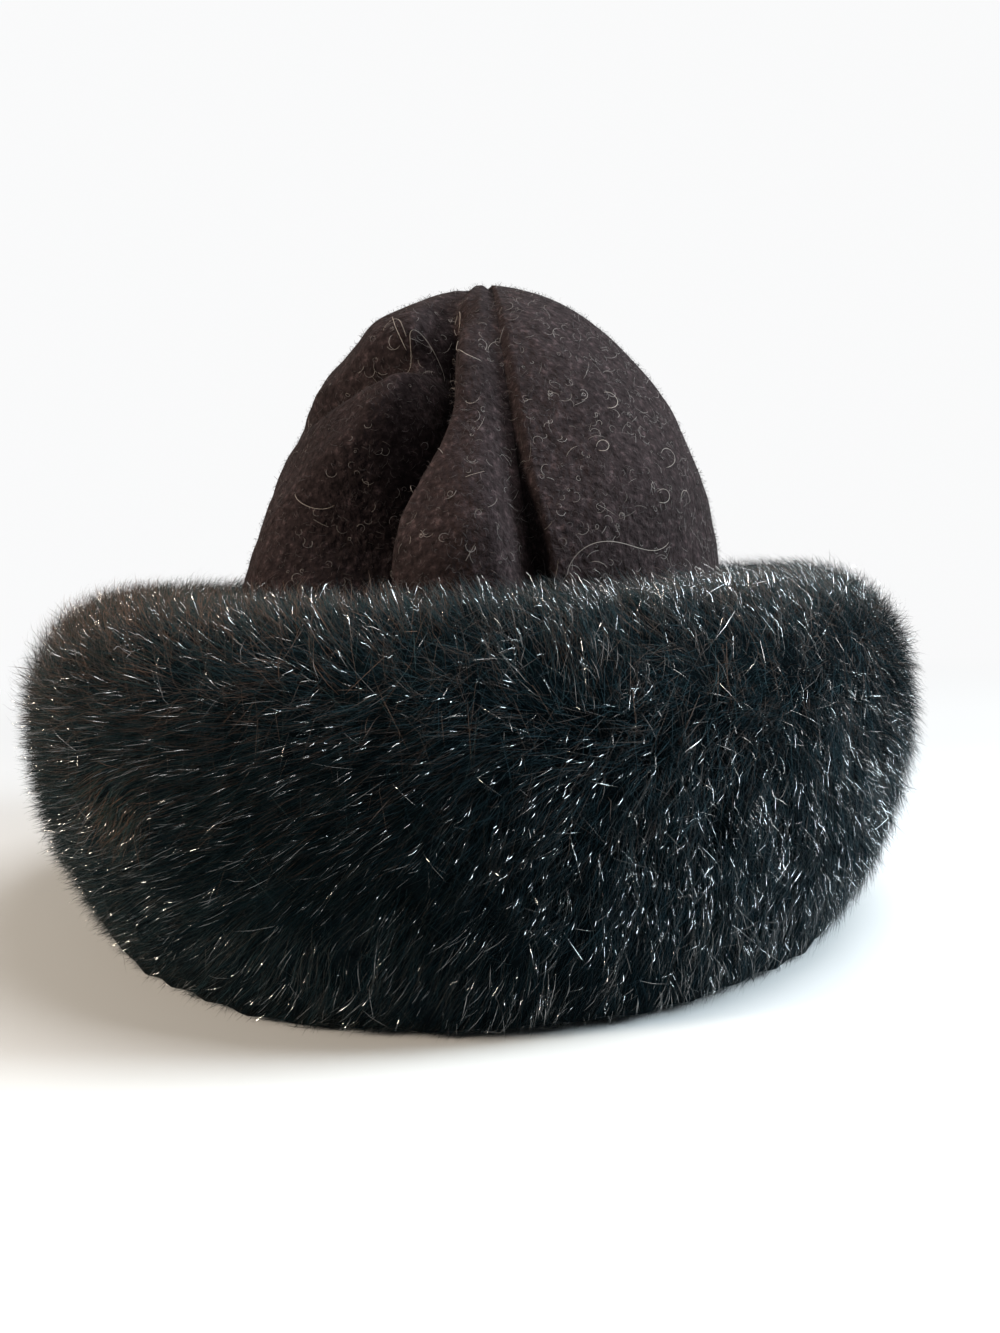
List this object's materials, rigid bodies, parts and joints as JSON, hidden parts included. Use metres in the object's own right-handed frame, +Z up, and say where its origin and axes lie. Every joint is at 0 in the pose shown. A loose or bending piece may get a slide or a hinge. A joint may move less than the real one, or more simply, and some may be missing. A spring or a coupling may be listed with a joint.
{
  "type": "faux fur hat",
  "caption": "Soft wool hat with a tall gored crown, folded in at the front, inside a deep turned-up cuff of faux fur that it stands on.",
  "frame": {"origin": "middle of the cuff's base, on the surface that the hat stands on", "axes": "+Z up through the crown, -Y out of the hat's front, +X to the right as the front is seen"},
  "size_m": [0.3036, 0.3171, 0.2104],
  "materials": {
    "fur": "long soft glossy pile",
    "wool": "matt boiled wool"
  },
  "bodies": {
    "root": {"fur_cuff": "fur", "gore_front_left": "wool", "gore_front_right": "wool", "gore_back_right": "wool", "gore_back_left": "wool"}
  },
  "joints": []
}
